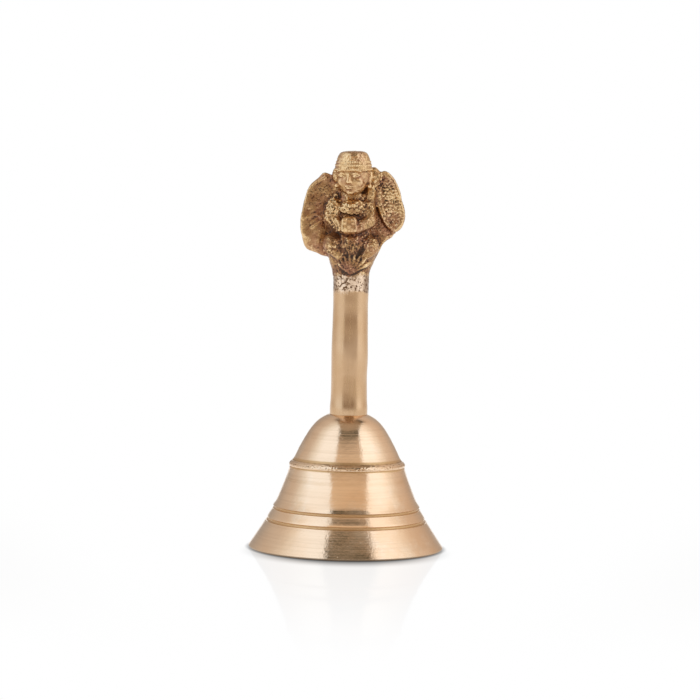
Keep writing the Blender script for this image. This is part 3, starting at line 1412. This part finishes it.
def make_washer(material):
    """Punched washer: rounded on the side that the punch entered, sharp on the other."""
    low, high = node_span("crown_washer")
    r = high.x
    bore = WASHER_BORE_R
    z0 = low.z
    z1 = high.z
    section = (
        arc_points((r - 0.3, z0), (r - 0.08, z0 + 0.1), (r, z0 + 0.35), 5)
        + arc_points((r, z1 - 0.15), (r - 0.05, z1 - 0.04), (r - 0.15, z1), 4)
        + line_points((r - 0.15, z1), (bore, z1), 4)
        + arc_points((bore, z0 + 0.2), (bore + 0.05, z0 + 0.06), (bore + 0.2, z0), 4)
        + line_points((bore + 0.2, z0), (r - 0.3, z0), 4)
    )
    washer = spin_section(section, "stamped_washer", 96)
    return finish_piece(washer, "bell", material, "crown_washer", sharp_deg=50)


def make_nut(material):
    """Hexagon nut with its lower corners chamfered and its bore threaded."""
    low, high = node_span("lock_nut")
    corner = high.x
    bpy.ops.mesh.primitive_cylinder_add(
        vertices=6, radius=corner * MM, depth=(high.z - low.z) * MM,
        location=(0, 0, (low.z + high.z) / 2 * MM), rotation=(0, 0, math.pi / 6),
    )
    nut = settle(bpy.context.object)
    nut.name = "hex_nut"
    flats = corner * math.cos(math.radians(30))
    below = low.z - 0.5
    above = high.z + 0.5
    chamfer = [
        (0, below), (flats - 0.1, low.z - 0.001), (corner + 0.05, low.z + 0.5),
        (corner + 0.05, above), (0, above),
    ]
    cone = spin_section(chamfer, "chamfer", 96)
    apply_modifier(nut, "BOOLEAN", operation="INTERSECT", object=cone, solver="EXACT")
    z = low.z + 0.25
    thread = [(0, below), (NUT_MOUTH_R, below), (NUT_THREAD_LOW_R, z)]
    while z < high.z:
        thread.append((NUT_THREAD_HIGH_R, z + THREAD_PITCH / 2))
        thread.append((NUT_THREAD_LOW_R, z + THREAD_PITCH))
        z += THREAD_PITCH
    thread += [(NUT_THREAD_LOW_R, high.z + 1.0), (0, high.z + 1.0)]
    tap = spin_section(thread, "tap", THREAD_STEPS)
    apply_modifier(nut, "BOOLEAN", operation="DIFFERENCE", object=tap, solver="EXACT")
    bpy.data.objects.remove(cone)
    bpy.data.objects.remove(tap)
    apply_modifier(nut, "BEVEL", width=0.06 * MM, segments=2, limit_method="ANGLE")
    return finish_piece(nut, "bell", material, "lock_nut", sharp_deg=35)


def make_link(material):
    """Closed oval of drawn wire with the weld where its ends meet."""
    low, high = node_span("hanger_link")
    wire_r = high.y
    bend_r = high.x - wire_r
    top = high.z - wire_r - bend_r
    bottom = low.z + wire_r + bend_r
    bpy.ops.mesh.primitive_circle_add(
        vertices=24, radius=(wire_r - 0.02) * MM, location=(-bend_r * MM, 0, top * MM)
    )
    link = settle(bpy.context.object)
    link.name = "wire_link"
    start_editing(link)
    for centre_z, drop in ((top, bottom - top), (bottom, top - bottom)):
        bpy.ops.mesh.spin(steps=32, angle=math.pi, center=(0, 0, centre_z * MM), axis=(0, 1, 0))
        bpy.ops.mesh.extrude_region_move(TRANSFORM_OT_translate={"value": (0, 0, drop * MM)})
    bpy.ops.mesh.select_all(action="SELECT")
    bpy.ops.mesh.remove_doubles(threshold=0.01 * MM)
    bpy.ops.mesh.normals_make_consistent(inside=False)
    stop_editing()
    weld = lump((bend_r, 0, (top + bottom) / 2), (wire_r - 0.01, wire_r - 0.01, 0.7))
    link = fuse([link, weld], "wire_link", 0.07 * MM, 2)
    return finish_piece(link, "link", material, "hanger_link")


def make_rod(material):
    """Clapper rod: an eye turned in its top and its foot spread under the ball."""
    low, high = node_span("clapper_rod")
    wire_r = ROD_EYE_WIRE_R
    ring_r = high.y - wire_r
    centre_z = high.z - wire_r - ring_r
    neck_z = centre_z - ring_r
    section = [
        (0, low.z + 0.02), (1.0, low.z + 0.04), (1.7, low.z + 0.3), (2.05, low.z + 0.75),
        (1.9, low.z + 0.88), (ROD_R, low.z + 0.89), (1.2, 13.0), (ROD_R, neck_z - 3.0),
        (1.18, neck_z - 1.5), (wire_r - 0.05, neck_z), (0, neck_z),
    ]
    shaft = spin_section(section, "rod_shaft", ROD_STEPS)
    eye = loop_of_wire("rod_eye", centre_z, ring_r, wire_r - 0.03, UPRIGHT_ACROSS_Y)
    rod = fuse([shaft, eye], "clapper_wire", 0.08 * MM, 2)
    roughen(rod, 2.0 * MM, 0.04 * MM, 1)
    record_wear(rod, 0.05 * MM, 0.3 * MM)
    return finish_piece(rod, "clapper", material, "clapper_rod")


def make_ball(material):
    """Turned clapper ball, flat at both ends of its bore, with two light tool lines round it."""
    low, high = node_span("clapper_ball")
    r = high.x - 0.02
    centre_z = (low.z + high.z) / 2
    flat = (high.z - low.z) / 2
    tilt = math.asin((flat - 0.02) / r)
    section = []
    for k in range(61):
        t = -tilt + 2 * tilt * k / 60
        groove = 0.06 * math.exp(-((t - 0.05) / 0.035) ** 2)
        groove += 0.03 * math.exp(-((t - 0.55) / 0.03) ** 2)
        section.append(((r - groove) * math.cos(t), centre_z + (r - groove) * math.sin(t)))
    section += [(1.45, centre_z + flat - 0.02), (BALL_BORE_R, centre_z + flat - 0.2)]
    section += [(BALL_BORE_R, centre_z - flat + 0.2), (1.45, centre_z - flat + 0.02)]
    ball = spin_section(section, "clapper_bob", 128)
    roughen(ball, 4.0 * MM, 0.03 * MM, 1)
    record_wear(ball, 0.03 * MM, 0.25 * MM)
    return finish_piece(ball, "clapper", material, "clapper_ball", sharp_deg=50)


# --- build ----------------------------------------------------------------------------------------
deselect_all()
place_camera()
light_tent()
lay_floor()
bpy.context.scene.view_settings.view_transform = "Standard"

turned = turned_finish("turned_brass", 1.0, (BEAD_LOW_Z + 0.3) * MM, (BEAD_TOP_Z + 0.4) * MM)
make_shell(turned)
make_stem(stem_finish("buffed_brass"))
cast = cast_finish("cast_brass")
make_body(cast)
make_head(cast)

plated = steel_finish("plated_steel", (0.60, 0.60, 0.59), (0.22, 0.19, 0.16), 0.28)
drawn = steel_finish("steel_wire", (0.44, 0.43, 0.42), (0.20, 0.12, 0.08), 0.32)
make_eye_bolt(plated)
make_washer(plated)
make_nut(plated)
make_link(drawn)
clapper_brass = turned_finish("clapper_brass", 1.6)
make_rod(clapper_brass)
make_ball(clapper_brass)
